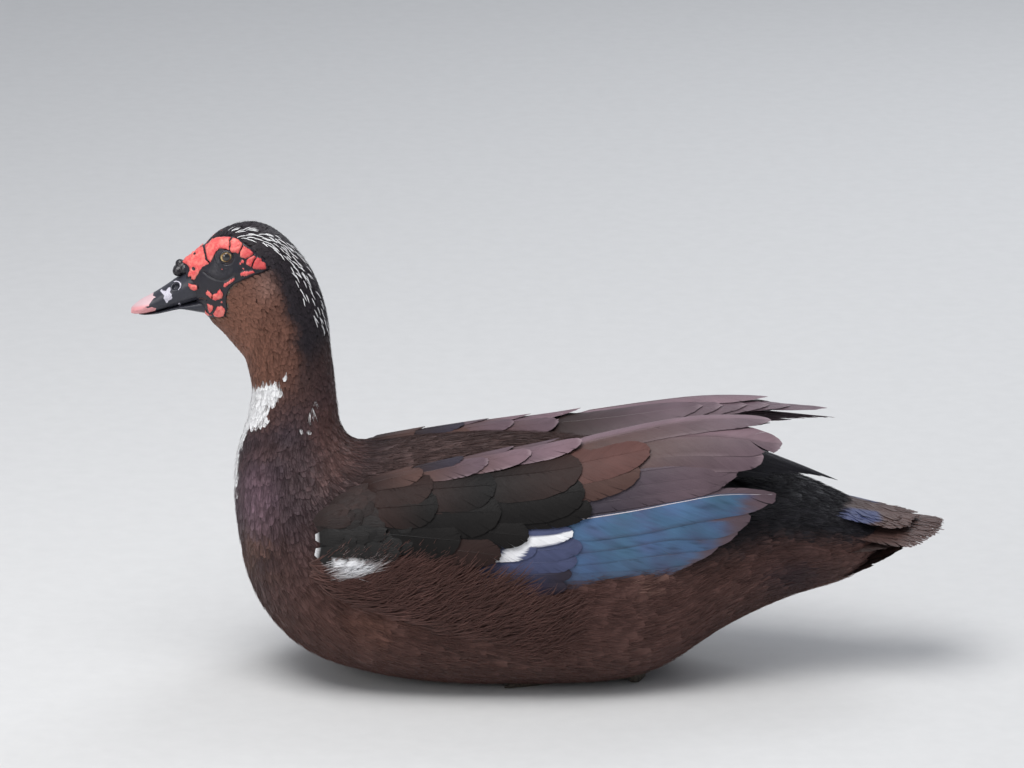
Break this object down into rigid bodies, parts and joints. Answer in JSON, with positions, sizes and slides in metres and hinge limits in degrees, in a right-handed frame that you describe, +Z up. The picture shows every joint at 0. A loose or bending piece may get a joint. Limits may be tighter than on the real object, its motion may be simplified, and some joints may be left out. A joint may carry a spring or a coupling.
{
  "type": "muscovy duck",
  "caption": "Life-size still model of a brown muscovy duck lying on the ground with folded wings, bare red and black face skin and a raised neck.",
  "frame": {"origin": "centre of the whole bird's box, on the floor that its belly rests on", "axes": "-X is the way the bird faces, -Y is its left side, +Z is up"},
  "size_m": [0.65, 0.2124, 0.369],
  "materials": {
    "feathers_dark": "glossy black-brown feathers of crown and nape",
    "feathers_brown": "soft dark brown body feathers",
    "feathers_flight": "firm brown flight feathers with a blue sheen",
    "bill": "smooth black horn with a pink nail",
    "bare_skin": "bare black skin bounded by moist red bulbs",
    "knob_skin": "smooth black skin",
    "eye": "wet amber eye",
    "leg_skin": "dry scaled skin"
  },
  "bodies": {
    "root": {"bill_knob": "knob_skin", "bill_lower": "bill", "bill_upper": "bill", "eye_left": "eye", "eye_right": "eye", "face_skin_left": "bare_skin", "face_skin_right": "bare_skin", "foot_left": "leg_skin", "foot_right": "leg_skin", "head": "feathers_dark", "leg_left": "leg_skin", "leg_right": "leg_skin", "neck_lower": "feathers_brown", "neck_upper": "feathers_brown", "rump": "feathers_brown", "tail": "feathers_flight", "torso": "feathers_brown", "wing_left": "feathers_flight", "wing_right": "feathers_flight"}
  },
  "joints": []
}
